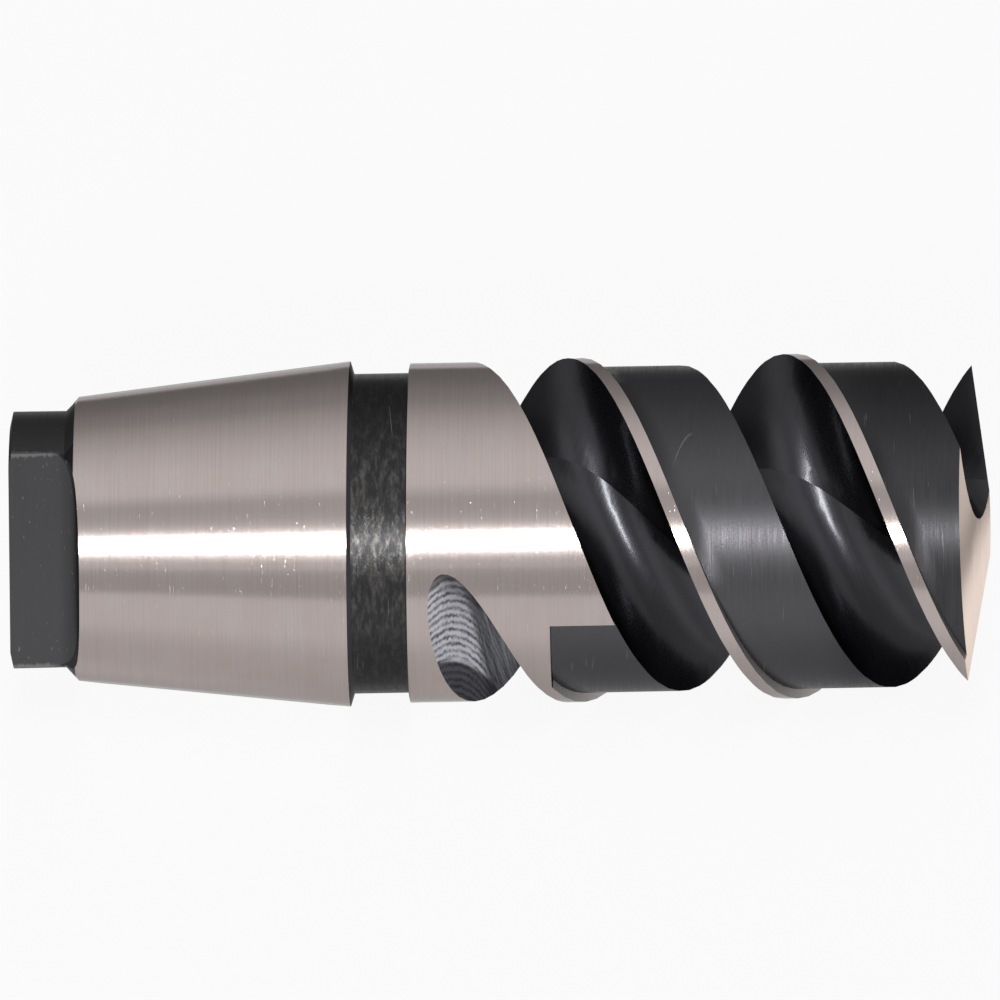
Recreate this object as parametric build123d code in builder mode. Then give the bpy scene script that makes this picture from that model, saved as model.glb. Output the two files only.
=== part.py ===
from build123d import *
from math import asin, atan, cos, degrees, pi, radians, sin, sqrt, tan
import os

# A twist drill with a Morse taper 2 shank, one piece of steel, lying along X with its point towards +X.
# The origin is on the axis, in the gauge plane of the taper, where a drill press spindle locates it.
# Lengths are in millimetres. A distance called "from the tang" is measured from the end of the tang.

# Overall lengths
overall_length = 228.0
tang_to_gauge = 75.0
tang_to_taper_end = 80.0
tang_to_body = 92.8

# Morse taper 2
gauge_diameter = 17.780
taper_ratio = 20.020
tang_to_taper_start = 15.9
taper_start_lead = 2.9
taper_end_chamfer = 0.9

# Tang, turned to a diameter and milled flat on two sides
tang_diameter = 13.4
tang_thickness = 6.3
tang_flat_length = 11.0
tang_cutter_radius = 6.0
tang_end_chamfer = 0.7
tang_roll = 200.0
centre_hole_diameter = 2.0
centre_hole_depth = 2.4
centre_tip_length = 0.5
centre_sink_diameter = 4.2
centre_sink_angle = 60.0

# Neck and body
neck_diameter = 16.7
body_diameter = 17.7
body_edge_chamfer = 0.25
body_lead_start = 112.0
body_lead_end = 127.0

# Cutting diameter over the margins, with its back taper
drill_diameter = 18.0
back_taper = 0.05 / 100

# Flutes: a right-hand helix, with the section of the milling cutter in the plane across the axis
lead = 100.0
leading_edge_front = 154.75
lip_offset = 1.5
face_belly = (5.2, 0.74)
face_root = (2.0, 1.0)
cutter_outer = (10.4, 2.15)
heel_outer = (-0.75, 9.6)
cutter_corner = (11.6, 11.6)
web_taper = 0.0155
web_shift_angle = 18.0

# Run-out, where the milling cutter leaves the body
runout_start = 119.3
runout_radius = 42.0
runout_lag = 1.5
runout_direction = 70.0
runout_overrun = 26.0
section_step = 4.0
point_overrun = 6.0

# Body clearance, ground behind the margins
land_diameter = 17.0
margin_width = 1.65
clearance_start = 126.3
clearance_start_width = 4.7
clearance_span = 112.0
clearance_root = 3.0

# Point, ground as two cones, one for each lip
point_angle = 118.0
point_cone_half_angle = 38.0
point_cone_offset = 12.0
point_cone_skew = 2.0

# The angle about its axis at which the finished drill comes to rest on a bench
resting_turn = -22.0


def from_tang(distance):
    """The X of a place at this distance from the end of the tang."""
    return distance - tang_to_gauge


def taper_radius(distance):
    """The radius of the Morse taper at this distance from the end of the tang."""
    return (gauge_diameter + (distance - tang_to_gauge) / taper_ratio) / 2


def leading_angle(distance):
    """The angle about X of the first leading edge, from +Y towards +Z. The front of the drill, -Y, is at 180."""
    return 180.0 + (distance - leading_edge_front) * 360.0 / lead


tip_x = from_tang(overall_length)
drill_radius = drill_diameter / 2
lip_angle = degrees(asin(lip_offset / drill_radius))
helix_angle = degrees(atan(pi * drill_diameter / lead))
margin_angle = degrees(margin_width / cos(radians(helix_angle)) / drill_radius)
margin_start_radius = drill_radius - (overall_length - body_lead_end) * back_taper / 2
point_tilt = point_angle / 2 - point_cone_half_angle


def section_plane(distance, angle, shift=0.0, shift_angle=0.0):
    """A plane across the axis whose own X points at this angle, moved outwards by shift in the direction shift_angle."""
    turn = radians(angle)
    push = radians(angle + shift_angle)
    return Plane(
        origin=(from_tang(distance), shift * cos(push), shift * sin(push)),
        x_dir=(0, cos(turn), sin(turn)),
        z_dir=(1, 0, 0),
    )


def flute_plane(distance, turn):
    """Where the flute's section stands: it moves out as the web thickens, and along an arc as the cutter runs out."""
    back = overall_length - distance
    past = max(runout_start - distance, 0.0)
    retreat = runout_radius - sqrt(runout_radius**2 - past**2)
    lag = runout_lag * (past / (runout_start - tang_to_body)) ** 2
    angle = leading_angle(distance) - lip_angle + lag + turn
    web = section_plane(distance, angle, back * web_taper, web_shift_angle)
    push = radians(angle + runout_direction)
    return Plane(
        origin=web.origin + Vector(0, retreat * cos(push), retreat * sin(push)),
        x_dir=web.x_dir,
        z_dir=web.z_dir,
    )


# Blank: tang, taper, neck and body in one turned outline
with BuildPart() as blank:
    with BuildSketch(Plane.XZ):
        with BuildLine():
            Polyline(
                (from_tang(0), 0),
                (from_tang(0), tang_diameter / 2 - tang_end_chamfer),
                (from_tang(tang_end_chamfer), tang_diameter / 2),
                (from_tang(tang_to_taper_start - taper_start_lead), tang_diameter / 2),
                (from_tang(tang_to_taper_start), taper_radius(tang_to_taper_start)),
                (from_tang(tang_to_taper_end - taper_end_chamfer), taper_radius(tang_to_taper_end)),
                (from_tang(tang_to_taper_end), neck_diameter / 2),
                (from_tang(tang_to_body), neck_diameter / 2),
                (from_tang(tang_to_body), body_diameter / 2 - body_edge_chamfer),
                (from_tang(tang_to_body + body_edge_chamfer), body_diameter / 2),
                (from_tang(body_lead_start), body_diameter / 2),
                (from_tang(body_lead_end), margin_start_radius),
                (tip_x, drill_radius),
                (tip_x, 0),
                close=True,
            )
        make_face()
    revolve(axis=Axis.X)

# Tang cutter: the milled gap beside one flat, with the cutter's radius where it runs out into the taper
with BuildPart() as tang_cutter:
    flat = tang_thickness / 2
    with BuildSketch(Plane.XY.offset(-tang_diameter)):
        with BuildLine():
            Polyline(
                (from_tang(tang_flat_length), flat),
                (from_tang(-tang_thickness), flat),
                (from_tang(-tang_thickness), flat + tang_cutter_radius),
                (from_tang(tang_flat_length) + tang_cutter_radius, flat + tang_cutter_radius),
            )
            RadiusArc(
                (from_tang(tang_flat_length) + tang_cutter_radius, flat + tang_cutter_radius),
                (from_tang(tang_flat_length), flat),
                tang_cutter_radius,
            )
        make_face()
    extrude(amount=2 * tang_diameter)

# Centre hole in the tang's end, as the blank is ground between centres
with BuildPart() as centre_hole:
    with BuildSketch(Plane.XZ):
        with BuildLine():
            sink_depth = (centre_sink_diameter - centre_hole_diameter) / 2 / tan(radians(centre_sink_angle / 2))
            Polyline(
                (from_tang(0), 0),
                (from_tang(0), centre_sink_diameter / 2),
                (from_tang(sink_depth), centre_hole_diameter / 2),
                (from_tang(sink_depth + centre_hole_depth), centre_hole_diameter / 2),
                (from_tang(sink_depth + centre_hole_depth + centre_tip_length), 0),
                close=True,
            )
        make_face()
    revolve(axis=Axis.X)


def flute_cutter(turn):
    """The space that the flute takes, lofted through the cutter's section at each step along the helix."""
    with BuildPart() as cutter:
        first = runout_start - runout_overrun
        end = overall_length + point_overrun
        count = round((end - first) / section_step)
        for index in range(count + 1):
            distance = first + (end - first) * index / count
            with BuildSketch(flute_plane(distance, turn)):
                with BuildLine():
                    face = ThreePointArc(cutter_outer, face_belly, face_root)
                    TangentArc(face @ 1, heel_outer, tangent=face % 1)
                    Polyline(heel_outer, cutter_corner, cutter_outer)
                make_face()
        loft()
    return cutter.part


def clearance_cutter(turn):
    """The shallow ring sector ground away behind a margin. It starts with the grinding wheel's own square outline."""
    land_radius = land_diameter / 2
    reach = 2 * drill_radius
    end = overall_length + point_overrun
    count = round((end - clearance_start) / section_step)
    corners = [
        (clearance_root, 0),
        (reach, 0),
        (reach * cos(radians(clearance_span / 2)), -reach * sin(radians(clearance_span / 2))),
        (reach * cos(radians(clearance_span)), -reach * sin(radians(clearance_span))),
        (clearance_root * cos(radians(clearance_span)), -clearance_root * sin(radians(clearance_span))),
    ]
    start_angle = leading_angle(clearance_start) - margin_angle + turn
    top_angle = start_angle - degrees(clearance_start_width / land_radius)
    square_length = (clearance_span - start_angle + top_angle) * lead / 360.0
    with BuildPart() as cutter:
        for index in range(count + 1):
            distance = clearance_start + (end - clearance_start) * index / count
            with BuildSketch(section_plane(distance, leading_angle(distance) - margin_angle + turn)):
                with BuildLine():
                    Polyline(*corners, close=True)
                make_face()
        loft()
        with BuildSketch(Plane.YZ.offset(from_tang(clearance_start))):
            Circle(land_radius)
        extrude(amount=end - clearance_start, mode=Mode.SUBTRACT)
        with BuildSketch(section_plane(clearance_start, top_angle)):
            Rectangle(reach, reach, align=(Align.MIN, Align.MAX))
        extrude(amount=square_length, mode=Mode.SUBTRACT)
    return cutter.part


def cone_drop(u, v):
    """How far the point's grinding cone lies below its apex, u along the lip and v ahead of the axis."""
    tilt = radians(point_tilt)
    half = radians(point_cone_half_angle)
    along = u + point_cone_offset
    across = v - lip_offset - point_cone_skew
    square = cos(tilt) ** 2 - cos(half) ** 2
    cross = 2 * along * sin(tilt) * cos(tilt)
    rest = (along * sin(tilt)) ** 2 - cos(half) ** 2 * (along**2 + across**2)
    return (-cross + sqrt(cross**2 - 4 * square * rest)) / (2 * square)


def point_cone(turn):
    """All that lies inside one of the two grinding cones. Its surface is the flank behind one lip."""
    apex_x = tip_x + cone_drop(0, 0)
    corner_x = apex_x - cone_drop(drill_radius * cos(radians(lip_angle)), lip_offset)
    angle = radians(leading_angle(corner_x + tang_to_gauge) - lip_angle + turn)
    along = Vector(0, cos(angle), sin(angle))
    ahead = Vector(0, -sin(angle), cos(angle))
    apex = Vector(apex_x, 0, 0) - along * point_cone_offset + ahead * (lip_offset + point_cone_skew)
    towards_apex = Vector(cos(radians(point_tilt)), 0, 0) - along * sin(radians(point_tilt))
    height = 2 * overall_length
    with BuildPart(Plane(origin=apex, x_dir=ahead, z_dir=towards_apex)) as cone:
        Cone(
            height * tan(radians(point_cone_half_angle)),
            0,
            height,
            align=(Align.CENTER, Align.CENTER, Align.MAX),
        )
    return cone.part


with BuildPart() as drill_bit:
    add(blank.part)
    for side in (0, 180):
        add(tang_cutter.part.rotate(Axis.X, tang_roll + side), mode=Mode.SUBTRACT)
    add(centre_hole.part, mode=Mode.SUBTRACT)
    for side in (0, 180):
        add(clearance_cutter(side), mode=Mode.SUBTRACT)
    for side in (0, 180):
        add(flute_cutter(side), mode=Mode.SUBTRACT)
    for side in (0, 180):
        add(point_cone(side), mode=Mode.INTERSECT)

resting = drill_bit.part.rotate(Axis.X, resting_turn)
resting.label = "drill_bit"
os.makedirs("parts", exist_ok=True)
export_step(resting, "parts/drill_bit.step")
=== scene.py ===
from math import cos, pi, radians, sin, sqrt
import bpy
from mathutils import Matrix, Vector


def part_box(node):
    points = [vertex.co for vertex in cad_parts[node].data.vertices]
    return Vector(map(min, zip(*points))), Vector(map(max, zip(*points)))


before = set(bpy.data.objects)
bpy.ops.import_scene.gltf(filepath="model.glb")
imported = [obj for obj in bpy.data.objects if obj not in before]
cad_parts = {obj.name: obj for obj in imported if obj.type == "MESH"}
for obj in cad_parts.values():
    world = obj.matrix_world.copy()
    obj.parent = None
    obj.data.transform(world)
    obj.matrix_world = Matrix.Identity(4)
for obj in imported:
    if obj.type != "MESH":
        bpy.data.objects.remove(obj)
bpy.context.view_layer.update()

from types import SimpleNamespace

import bpy
from mathutils import Matrix, Vector

print("drill: frame loaded")

mm = 0.001   # metres

# What a user would change about the drill. Lengths are millimetres, "along" is measured from the tang's end, and
# "rise" is the height as a flute's own side sees it.
drill = dict(
    # The helix, and how the drill lies
    tangToGauge=75.0, lead=100.0, edgeAtFront=154.75, restingTurn=-22.0,
    # The turned outline, by place along the drill and radius
    tangRadius=6.7, tangThickness=6.3, tangSide=178.0, tangEnd=17.9, groundFrom=15.2,
    taperStart=13.0, taperStartSlope=0.71 / 2.9, taperRatio=20.02, gaugeRadius=8.89, neckStart=79.2, neckEnd=92.8,
    bodyRadius=8.85, marginRadius=8.975, leadStart=112.0, leadEnd=127.0,
    landRadius=8.5, landStart=120.0, stepStart=126.5, pointStart=215.0,
    marginWidth=0.212, filletWidth=0.29,   # angles behind the cutting edge
    # Ground steel, bare metal at the point, and the worn step beside a margin
    steel=(0.565, 0.490, 0.468), steelDark=(0.43, 0.371, 0.355), steelRough=0.17,
    patch=(0.52, 0.49, 0.48), nick=(0.92, 0.90, 0.88), nickRise=1.9,
    pointSteel=(0.97, 0.81, 0.72), pointShade=0.85, pointRough=0.32, worn=(0.45, 0.43, 0.42), wornRough=0.50,
    # Black oxide, and what shows through it
    oxide=(0.094, 0.092, 0.100), oxideTang=(0.045, 0.045, 0.048), oxideFlat=(0.078, 0.078, 0.082),
    oxideNeck=(0.040, 0.040, 0.042), oxideRough=0.37, freshFrom=186.0, freshTo=204.0, freshShade=0.62,
    scuff=(0.12, 0.115, 0.108), scratch=(0.40, 0.40, 0.40), rubbed=(0.125, 0.118, 0.108),
    tangEdge=(0.40, 0.39, 0.38), tangEdgeFrom=9.0, tangEdgeTo=12.5,
    longScratch=(0.34, 0.34, 0.35), scratchFrom=154.6, scratchTo=160.0, scratchRise=2.89, scratchSlope=0.8,
    scratchBend=0.079,
    # Flutes: black oxide under a thin glaze of oil
    flute=(0.040, 0.040, 0.048), fluteShade=0.75, fluteRough=0.28, glaze=0.42, glazeRough=0.18, polishSlope=0.63,
    # Run-out: the cutter's arcs, its foot and its far side
    runOutEnd=121.0, runOutRough=0.42, milled=(0.62, 0.62, 0.67), milledDark=(0.10, 0.102, 0.115),
    milledTop=(0.10, 0.09, 0.09), milledFoot=(0.035, 0.036, 0.042), milledAside=(0.18, 0.185, 0.20),
    arcMiddle=103.5, arcBend=0.024, arcSpacing=0.37, farSide=102.6, footMiddle=102.6, footBend=0.0145, footRise=-6.69,
)

# What a user would change about the studio. Lengths are metres. The sky's stops are degrees round the drill's axis,
# from the front over the top, and their brightness.
studio = dict(
    sky=((0, 0.62), (34, 0.62), (46, 0.60), (55, 0.95), (74, 0.92), (90, 0.80), (108, 0.60), (124, 0.40),
         (150, 0.28), (172, 0.27), (176, 1.0), (180, 1.0)),
    # How much of its light the sky loses over the top to each side, to the front right, and at the drill's two ends.
    # The spans are parts of the half turn over the top, or of the way towards +X or -X.
    aside=-0.12, asideSpan=(0.08, 0.30), overSpan=(0.33, 0.50), overShade=0.85,
    frontSpan=(0.05, 0.30), frontShade=0.35,
    endMiddle=-0.02, endSpan=(0.52, 0.74), endSky=0.62, endShade=0.65,
    leftSpan=(-0.2, 0.2), leftOverSpan=(0.20, 0.50),
    # The strip lamp, in degrees above the horizon, and its distance from the axis
    stripLow=13.0, stripHigh=19.0, stripAway=1.0, stripLength=0.50, stripMiddle=-0.205, stripLight=27.0,
    floorColour=(0.93, 0.93, 0.93), floorLift=0.92, floorSize=6.0, floorGap=0.00001,
    # The floor as the steel mirrors it: painted shade beside the drill, and painted light on the floor past the point
    floorGloss=0.75, floorShade=0.5, shadeFrom=(0.003, 0.007), shadeTo=(0.0085, 0.0145),
    floorLightBeyond=0.2, beyondSpan=(0.150, 0.158),
    # Grey sheets that only the steel mirrors: painted reflections of a darker floor in front of the drill and past
    # its point
    cardSide=((-3.0, -0.30), (3.0, -0.030)), cardSideGrey=0.55,
    cardEnd=((0.182, -0.029), (0.60, 0.40)), cardEndGrey=0.16, cardGap=0.0002,
)

# What a user would change about the view. Pixels are the photograph's. The axis starts at the tang's end, and its
# slope is pixels down for each pixel to the right. Angles are degrees, and away is metres.
photo = dict(
    pictureSize=1000.0, pixelsPerMm=4.297, pixelsPerMmUp=19.17, axisStart=(10.8, 540.3), axisSlope=-0.0178,
    yaw=7.0, look=22.0, away=1.6,
)


# One output of a node, so that shader maths can be written as sums
class Signal:
    def __init__(self, sheet, socket):
        self.sheet, self.socket = sheet, socket

    def maths(self, operation, *others):
        return self.sheet.add("ShaderNodeMath", dict(operation=operation), (self, *others))

    # A vector made longer
    def scaled(self, amount):
        return self.sheet.add("ShaderNodeVectorMath", dict(operation="SCALE"), {"Vector": self, "Scale": amount})

    def __add__(self, other): return self.maths("ADD", other)
    def __sub__(self, other): return self.maths("SUBTRACT", other)
    def __mul__(self, other): return self.maths("MULTIPLY", other)
    def __truediv__(self, other): return self.maths("DIVIDE", other)
    def __pow__(self, other): return self.maths("POWER", other)
    def __radd__(self, other): return self.maths("ADD", other)
    def __rmul__(self, other): return self.maths("MULTIPLY", other)
    def __rsub__(self, other): return self.sheet.add("ShaderNodeMath", dict(operation="SUBTRACT"), (other, self))
    def __rtruediv__(self, other): return self.sheet.add("ShaderNodeMath", dict(operation="DIVIDE"), (other, self))
    def __mod__(self, other): return self.maths("FLOORED_MODULO", other)
    def __neg__(self): return self * -1.0
    def __abs__(self): return self.maths("ABSOLUTE")


# One node tree, and the few kinds of node that most of it is made of
class NodeSheet:
    def __init__(self, owner):
        owner.use_nodes = True
        self.tree = owner.node_tree
        self.tree.nodes.clear()

    # Makes a node of this kind: settings first, then a value or a link for each input, by place or by name
    def add(self, kind, settings=None, inputs=(), out=0):
        node = self.tree.nodes.new(kind)
        for name, value in (settings or {}).items():
            if name == "stops":
                ramp = node.color_ramp
                while len(ramp.elements) < len(value):
                    ramp.elements.new(0.5)
                for element, (place, tint) in zip(ramp.elements, value):
                    element.position = place
                    element.color = (*tint, 1.0)
            else:
                setattr(node, name, value)
        for name, value in (inputs.items() if isinstance(inputs, dict) else enumerate(inputs)):
            if isinstance(value, Signal):
                self.tree.links.new(value.socket, node.inputs[name])
            elif hasattr(node.inputs[name].default_value, "__len__") and len(node.inputs[name].default_value) == 4:
                node.inputs[name].default_value = (*value, 1.0)
            else:
                node.inputs[name].default_value = value
        return Signal(self, node.outputs[out]) if len(node.outputs) else None

    def vector(self, x, y, z):
        return self.add("ShaderNodeCombineXYZ", None, (x, y, z))

    def parts(self, vector):
        return [self.add("ShaderNodeSeparateXYZ", None, (vector,), i) for i in range(3)]

    # Rises smoothly from 0 at low to 1 at high
    def step(self, value, low, high):
        return self.add("ShaderNodeMapRange", dict(interpolation_type="SMOOTHSTEP"),
                        {"Value": value, "From Min": low, "From Max": high})

    # Falls smoothly from 1 at low to 0 at high
    def fall(self, value, low, high):
        return 1.0 - self.step(value, low, high)

    def noise(self, where, scale, detail=2.0, rough=0.5):
        return self.add("ShaderNodeTexNoise", None,
                        {"Vector": where, "Scale": scale, "Detail": detail, "Roughness": rough})

    # A colour between two
    def tint(self, amount, first, second):
        node = self.tree.nodes.new("ShaderNodeMix")
        node.data_type = "RGBA"
        for name, value in ((0, amount), (6, first), (7, second)):
            if isinstance(value, Signal):
                self.tree.links.new(value.socket, node.inputs[name])
            else:
                node.inputs[name].default_value = value if name == 0 else (*value, 1.0)
        return Signal(self, node.outputs[2])

    # A direction between two
    def blend(self, amount, first, second):
        node = self.tree.nodes.new("ShaderNodeMix")
        node.data_type = "VECTOR"
        for name, value in ((0, amount), (4, first), (5, second)):
            self.tree.links.new(value.socket, node.inputs[name])
        return Signal(self, node.outputs[1])

    def most(self, *signals):
        best = signals[0]
        for signal in signals[1:]:
            best = best.maths("MAXIMUM", signal)
        return best


# The same value, held between 0 and 1
def clamped(signal):
    signal.socket.node.use_clamp = True
    return signal


def shaded(colour, amount):
    return tuple(part * amount for part in colour)


# Every zone of the drill is found from the place on it: the distance along it, the radius, and the angle behind the
# cutting edge, which winds round with the helix.
def findZones(s, d):
    at = SimpleNamespace()
    at.place = s.add("ShaderNodeTexCoord", None, (), 3)
    at.fine = at.place.scaled(1.0 / mm)
    x, y, z = at.x, at.y, at.z = [part * (1.0 / mm) for part in s.parts(at.place)]
    at.normal = s.add("ShaderNodeNewGeometry", None, (), 1)
    nx, ny, nz = s.parts(at.normal)
    at.along = along = x + d["tangToGauge"]
    at.radius = radius = (y * y + z * z).maths("SQRT")
    at.outward = outward = (y * ny + z * nz) / radius        # 1 where the surface faces straight out
    leading = (along - d["edgeAtFront"]) * (2 * pi / d["lead"]) + (pi + radians(d["restingTurn"]))
    whole = (leading - z.maths("ARCTAN2", y)) % (2 * pi)
    at.behind = whole % pi                                   # from the cutting edge over the land, then the flute
    side = whole.maths("LESS_THAN", pi) * 2.0 - 1.0          # 1 and -1 for the drill's two halves, which are alike
    tilt = radians(-d["restingTurn"])
    at.rise = (y * sin(tilt) + z * cos(tilt)) * side

    # The turned outline tells ground surfaces from what was cut below them
    taper = (along - d["tangToGauge"]) / (2 * d["taperRatio"]) + d["gaugeRadius"]
    taper = taper.maths("MINIMUM", (along - d["taperStart"]) * d["taperStartSlope"] + d["tangRadius"])
    body = s.add("ShaderNodeMapRange", None, {"Value": along, "From Min": d["leadStart"], "From Max": d["leadEnd"],
                                              "To Min": d["bodyRadius"], "To Max": d["marginRadius"]})
    onTaper = s.step(along, d["groundFrom"] - 0.1, d["groundFrom"] + 0.1)
    onTaper = onTaper * s.fall(along, d["neckStart"] - 0.05, d["neckStart"] + 0.05)
    at.onTaper = onTaper * s.step(radius - taper, -0.16, -0.10) * s.step(outward, 0.85, 0.9)
    onBody = s.step(along, d["neckEnd"] - 0.06, d["neckEnd"])
    onBody = onBody * s.step(radius - body, -0.17, -0.13) * s.step(outward, 0.90, 0.94)
    at.ground = clamped(at.onTaper + onBody)
    at.onPoint = s.step(nx, 0.62, 0.66) * s.step(along, d["pointStart"], d["pointStart"] + 0.5)
    at.onLand = s.fall(abs(radius - d["landRadius"]), 0.14, 0.20) * s.step(outward, 0.955, 0.975)
    at.onLand = at.onLand * s.step(along, d["landStart"], d["landStart"] + 0.1)
    notLand = (1.0 - at.onLand) * (1.0 - onBody) * (1.0 - at.onPoint)
    onStep = s.fall(abs(at.behind - d["marginWidth"] - 0.02), 0.05, 0.06)
    onStep = onStep * s.step(radius, d["landRadius"] - 0.10, d["landRadius"] - 0.05)
    at.onStep = onStep * s.step(along, d["stepStart"], d["stepStart"] + 0.1) * notLand
    at.onNeck = s.step(along, d["neckStart"] + 0.8, d["neckStart"] + 0.82)
    at.onNeck = at.onNeck * s.fall(along, d["neckEnd"] - 0.02, d["neckEnd"] + 0.02)
    at.onTang = s.fall(along, d["tangEnd"], d["tangEnd"] + 0.1) * (1.0 - at.onTaper)
    at.inFlute = s.step(along, d["neckEnd"] + 1.0, d["neckEnd"] + 1.01) * notLand * (1.0 - at.onStep)
    ragged = along + s.noise(at.place.scaled(0.9 / mm), 0.6) * 3.0
    at.runOut = at.inFlute * s.fall(ragged, d["runOutEnd"] - 4.0, d["runOutEnd"])
    at.polished = at.inFlute * (1.0 - at.runOut)

    # Grinding lines run round the drill, so they change fast along it and slowly round it
    at.lines = s.noise(s.vector(x, y * 0.05, z * 0.05), 2.6, 3.0, 0.6)
    at.fineLines = s.noise(s.vector(x, y * 0.03, z * 0.03), 9.0, 2.0, 0.7)
    at.cloud = s.noise(s.vector(x * 0.12, y * 0.3, z * 0.3), 1.0, 3.0, 0.55)
    at.dents = s.noise(s.vector(x * 1.4, y * 0.6, z * 0.6), 1.5, 3.0, 0.65)
    nicks = s.step(s.noise(s.vector(x * 1.5, y * 0.8, z * 0.8), 1.7, 2.0, 0.6), 0.69, 0.73)
    at.nicks = nicks * (0.3 + s.fall(abs(abs(at.rise) - d["nickRise"]), 0.9, 1.8) * 0.7)
    scuffs = s.step(s.noise(s.vector(x * 0.8, y * 1.1, z * 1.1), 1.0, 5.0, 0.7), 0.40, 0.72) * at.onNeck
    at.scuffs = scuffs * (0.3 + s.fall(abs(at.rise), 2.5, 6.5) * 0.7)
    streak = (at.rise + along * d["polishSlope"]) * 1.6
    at.polish = s.noise(s.vector(streak, along * 0.07, at.rise * 0.1), 2.0, 3.0, 0.65)
    return at


# Ground steel, with paler patches and small bright nicks
def tintSteel(s, d, at):
    tint = s.tint(clamped(at.fineLines * 0.55 + at.lines * 0.75 - 0.25), d["steelDark"], d["steel"])
    tint = s.tint(s.step(at.cloud, 0.45, 0.75) * 0.25, tint, d["patch"])
    return s.tint(at.nicks * 0.6, tint, d["nick"])


# Black oxide: paler on the worn lands, nearly black towards the point and on the tang, scuffed on the neck
def tintOxide(s, d, at):
    x, y, z, along = at.x, at.y, at.z, at.along
    older = s.fall(along, d["freshFrom"], d["freshTo"]) * s.step(along, d["landStart"], d["landStart"] + 1.0)
    older = clamped(older + (at.cloud - 0.5) * 0.6)
    tint = s.tint(older, shaded(d["oxide"], d["freshShade"]), d["oxide"])
    tint = s.tint(at.onTang, tint, d["oxideTang"])
    tint = s.tint(at.onNeck, tint, d["oxideNeck"])
    tint = s.tint(at.scuffs, tint, d["scuff"])
    scratches = s.step(s.noise(s.vector(x * 2.6 + y, y * 0.35, z * 0.35), 1.0, 1.0, 0.4), 0.745, 0.775)
    tint = s.tint(scratches * 0.35, tint, d["scratch"])
    past = along - d["scratchFrom"]
    offScratch = abs(at.rise - d["scratchRise"] - past * d["scratchSlope"] + past ** 2.0 * d["scratchBend"])
    scratch = s.fall(offScratch, 0.02, 0.10) * at.onLand * (0.3 + at.lines)
    scratch = scratch * s.step(along, d["scratchFrom"] - 0.1, d["scratchFrom"] + 1.9)
    scratch = scratch * s.fall(along, d["scratchTo"] - 2.0, d["scratchTo"])
    tint = s.tint(clamped(scratch) * 0.6, tint, d["longScratch"])
    tint = s.tint(s.step(at.fineLines, 0.50, 0.75) * at.onLand * 0.45, tint, d["rubbed"])

    # The tang's flats have worn edges
    turn, half = radians(d["tangSide"]), d["tangThickness"] / 2
    across, beside = y * cos(turn) + z * sin(turn), z * cos(turn) - y * sin(turn)
    edgeOut = sqrt(d["tangRadius"] ** 2 - half ** 2)
    offEdge = ((abs(across) - half) ** 2.0 + (abs(beside) - edgeOut) ** 2.0).maths("SQRT")
    onRound = s.step(at.radius, d["tangRadius"] - 0.15, d["tangRadius"] - 0.05)
    onRound = onRound * s.step(abs(across), half + 0.03, half + 0.10)
    tint = s.tint((1.0 - onRound) * at.onTang, tint, d["oxideFlat"])
    wear = s.fall(offEdge + (s.noise(at.fine, 1.2, 3.0, 0.7) - 0.5) * 0.5, 0.05, 0.22)
    wear = wear * s.fall(along, d["tangEdgeFrom"], d["tangEdgeTo"])
    specks = s.step(s.noise(at.fine, 2.2, 2.0, 0.6), 0.70, 0.74) * at.onTang
    return s.tint(clamped(wear * 0.35 + specks * 0.4), tint, d["tangEdge"])


# Milling marks where the cutter left the body: arcs across the run-out, dark at its foot and along its far side, and
# a painted highlight at the foot's edge
def tintRunOut(s, d, at):
    along, rise = at.along, at.rise
    wander = s.noise(at.fine, 1.3, 3.0, 0.6)
    arc = rise + (along - d["arcMiddle"]) ** 2.0 * d["arcBend"] + wander * 0.30
    marks = s.noise(s.vector(arc, along * 0.12, 0.0), 3.4, 3.0, 0.7) * 0.45 + s.noise(at.fine, 3.0, 3.0, 0.7) * 0.35
    marks = marks + ((arc * (2 * pi / d["arcSpacing"])).maths("SINE") * 0.5 + 0.5) * 0.20
    aside = s.vector(along * 1.1 + rise * 1.3, along * 0.1 - rise * 0.08, wander * 0.5)
    aside = s.tint(s.step(s.noise(aside, 2.4, 4.0, 0.75), 0.36, 0.70), d["milledFoot"], d["milledAside"])
    farSide = s.step(along + rise * 0.87 + (wander - 0.5) * 1.5, d["farSide"], d["farSide"] + 2.0)
    offFoot = rise + (along - d["footMiddle"]) ** 2.0 * d["footBend"] - d["footRise"]
    # A painted highlight: a light line along the edge just above the run-out's foot
    paintedRimHighlight = s.fall(abs(offFoot - 0.16), 0.02, 0.12) * s.fall(along, 106.0, 112.0)
    tint = s.tint(s.step(marks, 0.30, 0.62), d["milledDark"], d["milled"])
    tint = s.tint(s.step(arc, -2.55, -2.2) * 0.75, tint, d["milledTop"])
    tint = s.tint(farSide * 0.92, tint, aside)
    tint = s.tint(s.fall(offFoot, -0.15, 0.10) * 0.88, tint, d["milledFoot"])
    return s.tint(paintedRimHighlight * 0.5, tint, d["milled"]), marks


# Grinding lines on the ground steel and the lands, polish lines in the flutes, marks in the run-outs, and the small
# hollow that the grinding wheel's corner leaves behind a margin
def makeRelief(s, d, at, marks):
    relief = (at.fineLines * 0.25 + at.lines * 0.12 + at.dents * 1.2 - at.nicks * 2.5) * at.ground
    relief = relief + at.fineLines * at.onLand * 3.0 + at.polish * at.polished * 2.0
    relief = relief + marks * at.runOut * 5.0 + at.scuffs * 2.0
    hollow = clamped((d["marginWidth"] + d["filletWidth"] - at.behind) / d["filletWidth"])
    hollow = hollow ** 2.0 * at.onLand * s.step(at.along, d["stepStart"] + 1.5, d["stepStart"] + 7.5)
    return relief + hollow * s.step(at.rise, -5.5, -2.5) * 50.0


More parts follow.
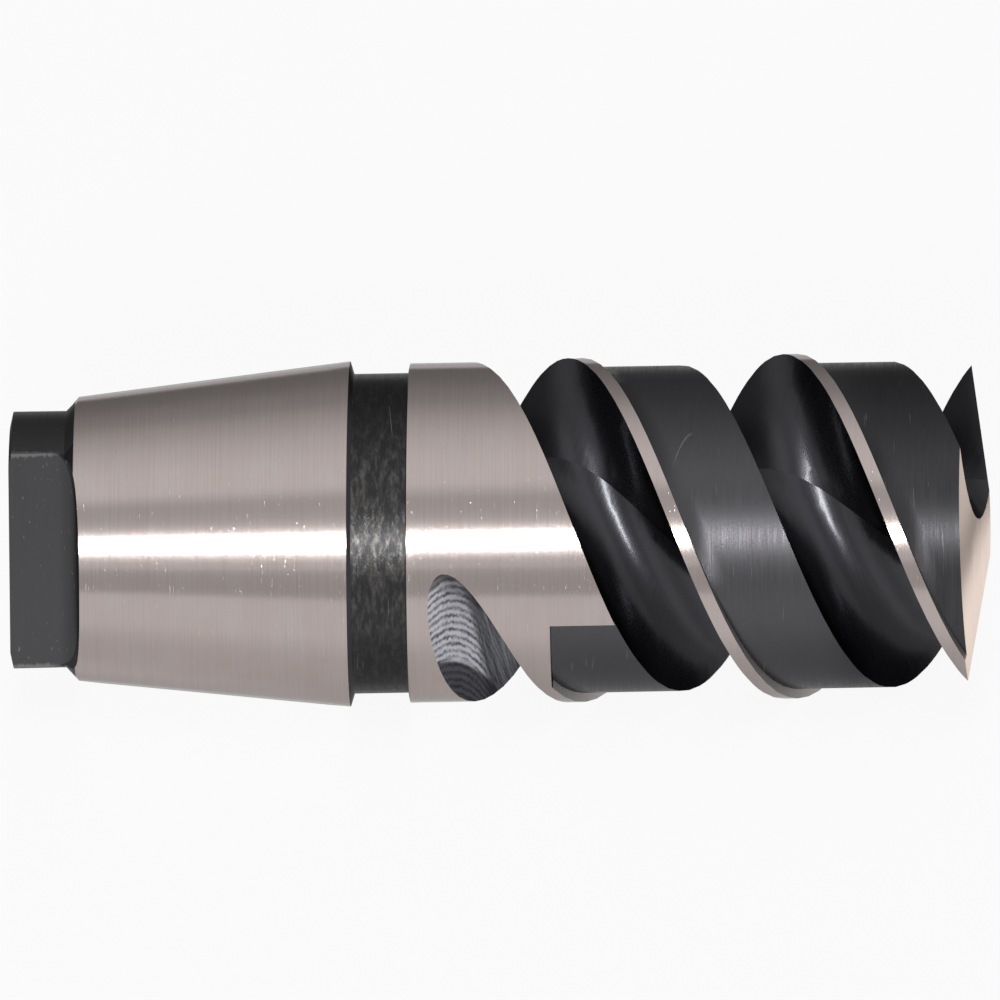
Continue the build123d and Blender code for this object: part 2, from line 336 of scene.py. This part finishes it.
# The drill's one material
def makeDrillSteel(d):
    steel = bpy.data.materials.new("drillSteel")
    s = NodeSheet(steel)
    at = findZones(s, d)
    milledTint, marks = tintRunOut(s, d, at)
    soft = s.noise(s.vector(at.behind * 5.0, at.along * 0.05, at.radius * 0.5), 1.0, 2.0, 0.5)
    tint = s.tint(clamped(soft * 0.8 + at.polish * 0.4 - 0.1), shaded(d["flute"], d["fluteShade"]), d["flute"])
    tint = s.tint(at.inFlute, tintOxide(s, d, at), tint)
    tint = s.tint(at.runOut, tint, milledTint)
    tint = s.tint(at.ground, tint, tintSteel(s, d, at))
    tint = s.tint(at.onStep, tint, d["worn"])
    pointTint = s.tint(at.lines, shaded(d["pointSteel"], d["pointShade"]), d["pointSteel"])
    tint = s.tint(at.onPoint, tint, pointTint)

    rough = d["oxideRough"] + (at.lines - 0.5) * 0.16 + (at.fineLines - 0.5) * at.onLand * 0.5
    rough = rough - at.scuffs * 0.08 + at.onTang * 0.05
    rough = rough + at.inFlute * (d["fluteRough"] - rough + (at.polish - 0.5) * 0.10)
    rough = rough + at.runOut * (d["runOutRough"] - rough)
    rough = rough + at.ground * (d["steelRough"] - rough + (at.fineLines - 0.5) * 0.10)
    rough = rough + at.onPoint * (d["pointRough"] - rough) + at.onStep * (d["wornRough"] - rough)

    # The turned and ground surfaces face exactly out from the axis, whatever the mesh's own facets do
    outwardWay = s.vector(at.onTaper * (-0.5 / d["taperRatio"]), at.y / at.radius, at.z / at.radius)
    turned = clamped(at.ground + at.onLand + at.onNeck * s.step(at.outward, 0.9, 0.95))
    facing = s.blend(turned, at.normal, outwardWay)
    bump = s.add("ShaderNodeBump", None, {"Strength": 0.35, "Distance": 0.00002, "Normal": facing,
                                          "Height": makeRelief(s, d, at, marks)})

    shader = s.add("ShaderNodeBsdfPrincipled", None, {
        "Base Color": tint, "Roughness": clamped(rough), "Metallic": 1.0, "Specular Tint": (0.6, 0.6, 0.6),
        "Coat Weight": clamped(at.polished * (at.polish * 0.6 + 0.7)) * d["glaze"],
        "Coat Roughness": d["glazeRough"], "Coat IOR": 1.65, "Normal": bump})
    s.add("ShaderNodeOutputMaterial", None, {"Surface": shader})
    return steel


# A soft sky that changes round the drill's axis, dimmer in a ring to each side, behind a white backdrop
def makeSky(st):
    world = bpy.data.worlds.new("studioSky")
    bpy.context.scene.world = world
    s = NodeSheet(world)
    x, y, z = s.parts(s.add("ShaderNodeTexCoord"))
    over = abs(z.maths("ARCTAN2", -y)) / pi
    light = s.add("ShaderNodeValToRGB", dict(stops=[(a / 180.0, (v, v, v)) for a, v in st["sky"]]), (over,))
    asideShade = s.step(abs(x - st["aside"]), *st["asideSpan"]) * s.step(over, *st["overSpan"]) * st["overShade"]
    ring = s.most(asideShade, s.step(x, *st["frontSpan"]) * st["frontShade"])
    light = s.tint(ring, light, (0.0, 0.0, 0.0))
    leftShade = s.fall(x, *st["leftSpan"]) * s.step(over, *st["leftOverSpan"]) * st["endShade"]
    light = s.tint(s.step(abs(x - st["endMiddle"]), *st["endSpan"]), light, (1.0 - leftShade) * st["endSky"])
    camera = s.add("ShaderNodeLightPath")
    colour = s.tint(camera, light, (1.0, 1.0, 1.0))
    s.add("ShaderNodeOutputWorld", None, {"Surface": s.add("ShaderNodeBackground", None, (colour, 1.0))})


# The long lamp in front of the drill, whose reflection is the white band
def makeStrip(st):
    low, high = radians(st["stripLow"]), radians(st["stripHigh"])
    middle, width = (low + high) / 2, 2 * st["stripAway"] * sin((high - low) / 2)
    data = bpy.data.lights.new("stripLamp", "AREA")
    data.shape, data.size, data.size_y = "RECTANGLE", st["stripLength"], width
    data.energy = st["stripLight"] * pi * st["stripLength"] * width
    lamp = bpy.data.objects.new("stripLamp", data)
    bpy.context.collection.objects.link(lamp)
    lamp.location = (st["stripMiddle"], -cos(middle) * st["stripAway"], sin(middle) * st["stripAway"])
    lamp.rotation_euler = (pi / 2 - middle, 0.0, 0.0)
    lamp.visible_camera = False


# A flat sheet of the studio, between two opposite corners
def makeSheet(name, corners, height, material):
    (left, front), (right, back) = corners
    mesh = bpy.data.meshes.new(name)
    mesh.from_pydata([(left, front, height), (right, front, height), (right, back, height), (left, back, height)],
                     [], [(0, 1, 2, 3)])
    mesh.materials.append(material)
    sheet = bpy.data.objects.new(name, mesh)
    bpy.context.collection.objects.link(sheet)
    return sheet


def makeFloor(st, height):
    half = st["floorSize"] / 2
    material = bpy.data.materials.new("paleFloor")
    s = NodeSheet(material)
    paper = s.add("ShaderNodeBsdfDiffuse", None, {"Color": st["floorColour"]})
    white = s.add("ShaderNodeEmission", None, ((1.0, 1.0, 1.0), 1.0))
    camera, gloss, through = (s.add("ShaderNodeLightPath", None, (), "Is " + ray + " Ray")
                              for ray in ("Camera", "Glossy", "Transmission"))
    x, y = s.parts(s.add("ShaderNodeTexCoord", None, (), 3))[:2]
    # Only the steel's reflections show this: painted light on the floor past the point, and painted shade beside the
    # drill
    beyond = s.step(x, *st["beyondSpan"])
    beside = s.step(abs(y), *st["shadeFrom"]) * s.fall(abs(y), *st["shadeTo"]) * (1.0 - beyond)
    mirrored = (1.0 - beside * st["floorShade"]) * st["floorGloss"] + beyond * st["floorLightBeyond"]
    seen = s.most(camera * st["floorLift"], s.most(gloss, through) * mirrored)
    s.add("ShaderNodeOutputMaterial", None, {"Surface": s.add("ShaderNodeMixShader", None, (seen, paper, white))})
    makeSheet("floor", ((-half, -half), (half, half)), height, material)

    # Two grey sheets on the floor that only the steel shows, as painted reflections: the one in front paints the dark
    # line under the white band
    for name in ("cardSide", "cardEnd"):
        material = bpy.data.materials.new(name)
        s = NodeSheet(material)
        paper = s.add("ShaderNodeEmission", None, {"Color": (st[name + "Grey"],) * 3})
        s.add("ShaderNodeOutputMaterial", None, {"Surface": paper})
        card = makeSheet(name, st[name], height + st["cardGap"], material)
        card.visible_camera = card.visible_diffuse = card.visible_shadow = card.visible_transmission = False


# The photograph's picture is stretched: its pixels are 4.46 times finer across the drill than along it. The main
# camera repeats that by a shear, so that the drill itself keeps its true proportions, as every other view shows.
def makeCamera(p):
    yaw, turn = radians(p["yaw"]), Matrix.Rotation(radians(-p["look"]), 3, "X")
    pixelsPerMm = p["pixelsPerMm"] / cos(yaw)
    stretch = p["pixelsPerMmUp"] / pixelsPerMm
    roll = p["axisSlope"] / stretch
    view = turn @ Vector((-sin(yaw), cos(yaw), 0.0))
    right, up = turn @ Vector((cos(yaw), sin(yaw), 0.0)), turn @ Vector((0.0, 0.0, 1.0))
    across, upright = right * cos(roll) + up * sin(roll), up * cos(roll) - right * sin(roll)
    rise = upright / stretch - view * sqrt(1.0 - 1.0 / stretch**2)
    half = p["pictureSize"] / 2
    middleX = (half - p["axisStart"][0]) / p["pixelsPerMm"] - drill["tangToGauge"]
    middleUp = (p["axisStart"][1] + half * p["axisSlope"] - half) / p["pixelsPerMmUp"]
    centre = Vector((middleX * mm, 0.0, 0.0)) + upright * (middleUp * mm)
    place = centre - view * p["away"]
    data = bpy.data.cameras.new("photoCamera")
    data.type, data.ortho_scale = "ORTHO", p["pictureSize"] * mm / pixelsPerMm
    camera = bpy.data.objects.new("photoCamera", data)
    rig = bpy.data.objects.new("cameraRig", None)
    for thing in (rig, camera):
        bpy.context.collection.objects.link(thing)
    camera.parent = rig
    camera.matrix_parent_inverse = Matrix((*zip(across, rise, -view, place), (0.0, 0.0, 0.0, 1.0)))
    bpy.context.scene.camera = camera


makeCamera(photo)
print("drill: camera placed")

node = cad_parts["drill_bit"]
node.material_slots[0].material = makeDrillSteel(drill)
print("drill: steel finished")

makeSky(studio)
makeStrip(studio)
makeFloor(studio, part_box("drill_bit")[0][2] - studio["floorGap"])
bpy.context.scene.view_settings.view_transform = "Standard"
print("drill: studio lit")
